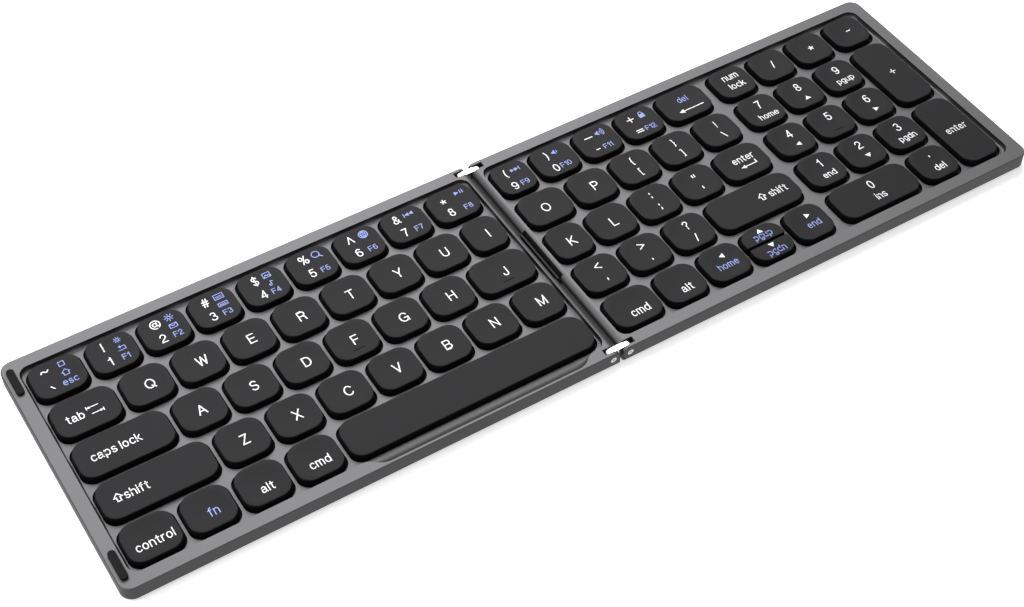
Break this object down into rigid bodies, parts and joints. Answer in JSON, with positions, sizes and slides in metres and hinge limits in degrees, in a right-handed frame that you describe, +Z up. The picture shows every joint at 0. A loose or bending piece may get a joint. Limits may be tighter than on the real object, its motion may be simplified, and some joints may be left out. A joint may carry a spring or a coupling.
{
  "type": "folding keyboard",
  "caption": "Slim computer keyboard in two shallow metal trays that fold face to face on a two-axis hinge, with dished low scissor keys and a number pad.",
  "frame": {"origin": "middle of the unfolded keyboard's footprint, on the surface that the feet stand on", "axes": "+X along the keyboard towards the number pad, +Y to the rear edge, +Z up out of the key tops"},
  "size_m": [0.3282, 0.0938, 0.007],
  "materials": {
    "tray_aluminium": "satin",
    "cover_aluminium": "satin",
    "keycap_plastic": "matte",
    "rubber": "matte",
    "sheath_plastic": "matte",
    "polished_steel": "polished",
    "sheet_steel": "satin",
    "black_screw": "satin",
    "magnet_nickel": "polished",
    "membrane_film": "matte",
    "dome_silicone": "matte",
    "scissor_plastic": "matte",
    "cell_foil": "satin",
    "board_laminate": "matte",
    "port_steel": "satin"
  },
  "bodies": {
    "left_half": {"left_case": "tray_aluminium", "left_bottom_cover": "cover_aluminium", "left_key_plate": "sheet_steel", "left_membrane": "membrane_film", "left_domes": "dome_silicone", "left_scissors": "scissor_plastic", "left_bumpers": "rubber", "left_feet": "rubber", "left_screws": "black_screw", "left_hinge_pins": "polished_steel", "left_magnets": "magnet_nickel", "battery": "cell_foil"},
    "hinge_bridge": {"front_hinge_link": "polished_steel", "rear_hinge_link": "polished_steel", "cable_sheath": "sheath_plastic"},
    "right_half": {"right_case": "tray_aluminium", "right_bottom_cover": "cover_aluminium", "right_key_plate": "sheet_steel", "right_membrane": "membrane_film", "right_domes": "dome_silicone", "right_scissors": "scissor_plastic", "right_feet": "rubber", "right_screws": "black_screw", "right_hinge_pins": "polished_steel", "right_magnets": "magnet_nickel", "main_board": "board_laminate", "charging_port": "port_steel"},
    "space_bar": {"space_bar": "keycap_plastic"},
    "key_q": {"key_q": "keycap_plastic"},
    "key_w": {"key_w": "keycap_plastic"},
    "key_e": {"key_e": "keycap_plastic"},
    "key_r": {"key_r": "keycap_plastic"},
    "key_t": {"key_t": "keycap_plastic"},
    "key_y": {"key_y": "keycap_plastic"},
    "key_u": {"key_u": "keycap_plastic"},
    "key_i": {"key_i": "keycap_plastic"},
    "key_a": {"key_a": "keycap_plastic"},
    "key_s": {"key_s": "keycap_plastic"},
    "key_d": {"key_d": "keycap_plastic"},
    "key_f": {"key_f": "keycap_plastic"},
    "key_g": {"key_g": "keycap_plastic"},
    "key_h": {"key_h": "keycap_plastic"},
    "key_j": {"key_j": "keycap_plastic"},
    "key_z": {"key_z": "keycap_plastic"},
    "key_x": {"key_x": "keycap_plastic"},
    "key_c": {"key_c": "keycap_plastic"},
    "key_v": {"key_v": "keycap_plastic"},
    "key_b": {"key_b": "keycap_plastic"},
    "key_n": {"key_n": "keycap_plastic"},
    "key_m": {"key_m": "keycap_plastic"},
    "left_number_keys": {"left_number_keys": "keycap_plastic"},
    "left_modifier_keys": {"left_modifier_keys": "keycap_plastic"},
    "key_o": {"key_o": "keycap_plastic"},
    "key_p": {"key_p": "keycap_plastic"},
    "key_k": {"key_k": "keycap_plastic"},
    "key_l": {"key_l": "keycap_plastic"},
    "right_number_keys": {"right_number_keys": "keycap_plastic"},
    "right_side_keys": {"right_side_keys": "keycap_plastic"},
    "arrow_keys": {"arrow_keys": "keycap_plastic"},
    "number_pad_keys": {"number_pad_keys": "keycap_plastic"}
  },
  "joints": [
    {"name": "hinge_left", "type": "hinge", "parent": "left_half", "child": "hinge_bridge", "pos_m": [-0.0031, 0, 0.0035], "axis": [0, -1, 0], "range_deg": [0, 90]},
    {"name": "hinge_right", "type": "hinge", "parent": "hinge_bridge", "child": "right_half", "pos_m": [0.0031, 0, 0.0035], "axis": [0, -1, 0], "range_deg": [0, 90]},
    {"name": "space_bar_press", "type": "slide", "parent": "left_half", "child": "space_bar", "axis": [0, 0, -1], "range_m": [0, 0.0012], "stiffness_N_per_m": 400, "springref_m": -0.0005, "deforming": ["left_domes", "left_scissors"]},
    {"name": "key_q_press", "type": "slide", "parent": "left_half", "child": "key_q", "axis": [0, 0, -1], "range_m": [0, 0.0012], "stiffness_N_per_m": 400, "springref_m": -0.0005},
    {"name": "key_w_press", "type": "slide", "parent": "left_half", "child": "key_w", "axis": [0, 0, -1], "range_m": [0, 0.0012], "stiffness_N_per_m": 400, "springref_m": -0.0005},
    {"name": "key_e_press", "type": "slide", "parent": "left_half", "child": "key_e", "axis": [0, 0, -1], "range_m": [0, 0.0012], "stiffness_N_per_m": 400, "springref_m": -0.0005},
    {"name": "key_r_press", "type": "slide", "parent": "left_half", "child": "key_r", "axis": [0, 0, -1], "range_m": [0, 0.0012], "stiffness_N_per_m": 400, "springref_m": -0.0005},
    {"name": "key_t_press", "type": "slide", "parent": "left_half", "child": "key_t", "axis": [0, 0, -1], "range_m": [0, 0.0012], "stiffness_N_per_m": 400, "springref_m": -0.0005},
    {"name": "key_y_press", "type": "slide", "parent": "left_half", "child": "key_y", "axis": [0, 0, -1], "range_m": [0, 0.0012], "stiffness_N_per_m": 400, "springref_m": -0.0005},
    {"name": "key_u_press", "type": "slide", "parent": "left_half", "child": "key_u", "axis": [0, 0, -1], "range_m": [0, 0.0012], "stiffness_N_per_m": 400, "springref_m": -0.0005},
    {"name": "key_i_press", "type": "slide", "parent": "left_half", "child": "key_i", "axis": [0, 0, -1], "range_m": [0, 0.0012], "stiffness_N_per_m": 400, "springref_m": -0.0005},
    {"name": "key_a_press", "type": "slide", "parent": "left_half", "child": "key_a", "axis": [0, 0, -1], "range_m": [0, 0.0012], "stiffness_N_per_m": 400, "springref_m": -0.0005},
    {"name": "key_s_press", "type": "slide", "parent": "left_half", "child": "key_s", "axis": [0, 0, -1], "range_m": [0, 0.0012], "stiffness_N_per_m": 400, "springref_m": -0.0005},
    {"name": "key_d_press", "type": "slide", "parent": "left_half", "child": "key_d", "axis": [0, 0, -1], "range_m": [0, 0.0012], "stiffness_N_per_m": 400, "springref_m": -0.0005},
    {"name": "key_f_press", "type": "slide", "parent": "left_half", "child": "key_f", "axis": [0, 0, -1], "range_m": [0, 0.0012], "stiffness_N_per_m": 400, "springref_m": -0.0005},
    {"name": "key_g_press", "type": "slide", "parent": "left_half", "child": "key_g", "axis": [0, 0, -1], "range_m": [0, 0.0012], "stiffness_N_per_m": 400, "springref_m": -0.0005},
    {"name": "key_h_press", "type": "slide", "parent": "left_half", "child": "key_h", "axis": [0, 0, -1], "range_m": [0, 0.0012], "stiffness_N_per_m": 400, "springref_m": -0.0005},
    {"name": "key_j_press", "type": "slide", "parent": "left_half", "child": "key_j", "axis": [0, 0, -1], "range_m": [0, 0.0012], "stiffness_N_per_m": 400, "springref_m": -0.0005},
    {"name": "key_z_press", "type": "slide", "parent": "left_half", "child": "key_z", "axis": [0, 0, -1], "range_m": [0, 0.0012], "stiffness_N_per_m": 400, "springref_m": -0.0005},
    {"name": "key_x_press", "type": "slide", "parent": "left_half", "child": "key_x", "axis": [0, 0, -1], "range_m": [0, 0.0012], "stiffness_N_per_m": 400, "springref_m": -0.0005},
    {"name": "key_c_press", "type": "slide", "parent": "left_half", "child": "key_c", "axis": [0, 0, -1], "range_m": [0, 0.0012], "stiffness_N_per_m": 400, "springref_m": -0.0005},
    {"name": "key_v_press", "type": "slide", "parent": "left_half", "child": "key_v", "axis": [0, 0, -1], "range_m": [0, 0.0012], "stiffness_N_per_m": 400, "springref_m": -0.0005},
    {"name": "key_b_press", "type": "slide", "parent": "left_half", "child": "key_b", "axis": [0, 0, -1], "range_m": [0, 0.0012], "stiffness_N_per_m": 400, "springref_m": -0.0005},
    {"name": "key_n_press", "type": "slide", "parent": "left_half", "child": "key_n", "axis": [0, 0, -1], "range_m": [0, 0.0012], "stiffness_N_per_m": 400, "springref_m": -0.0005},
    {"name": "key_m_press", "type": "slide", "parent": "left_half", "child": "key_m", "axis": [0, 0, -1], "range_m": [0, 0.0012], "stiffness_N_per_m": 400, "springref_m": -0.0005},
    {"name": "left_number_keys_press", "type": "slide", "parent": "left_half", "child": "left_number_keys", "axis": [0, 0, -1], "range_m": [0, 0.0012], "stiffness_N_per_m": 3600, "springref_m": -0.0005},
    {"name": "left_modifier_keys_press", "type": "slide", "parent": "left_half", "child": "left_modifier_keys", "axis": [0, 0, -1], "range_m": [0, 0.0012], "stiffness_N_per_m": 2800, "springref_m": -0.0005},
    {"name": "key_o_press", "type": "slide", "parent": "right_half", "child": "key_o", "axis": [0, 0, -1], "range_m": [0, 0.0012], "stiffness_N_per_m": 400, "springref_m": -0.0005},
    {"name": "key_p_press", "type": "slide", "parent": "right_half", "child": "key_p", "axis": [0, 0, -1], "range_m": [0, 0.0012], "stiffness_N_per_m": 400, "springref_m": -0.0005},
    {"name": "key_k_press", "type": "slide", "parent": "right_half", "child": "key_k", "axis": [0, 0, -1], "range_m": [0, 0.0012], "stiffness_N_per_m": 400, "springref_m": -0.0005},
    {"name": "key_l_press", "type": "slide", "parent": "right_half", "child": "key_l", "axis": [0, 0, -1], "range_m": [0, 0.0012], "stiffness_N_per_m": 400, "springref_m": -0.0005},
    {"name": "right_number_keys_press", "type": "slide", "parent": "right_half", "child": "right_number_keys", "axis": [0, 0, -1], "range_m": [0, 0.0012], "stiffness_N_per_m": 2000, "springref_m": -0.0005},
    {"name": "right_side_keys_press", "type": "slide", "parent": "right_half", "child": "right_side_keys", "axis": [0, 0, -1], "range_m": [0, 0.0012], "stiffness_N_per_m": 4800, "springref_m": -0.0005, "deforming": ["right_domes", "right_scissors"]},
    {"name": "arrow_keys_press", "type": "slide", "parent": "right_half", "child": "arrow_keys", "axis": [0, 0, -1], "range_m": [0, 0.0012], "stiffness_N_per_m": 1600, "springref_m": -0.0005},
    {"name": "number_pad_keys_press", "type": "slide", "parent": "right_half", "child": "number_pad_keys", "axis": [0, 0, -1], "range_m": [0, 0.0012], "stiffness_N_per_m": 6800, "springref_m": -0.0005}
  ]
}
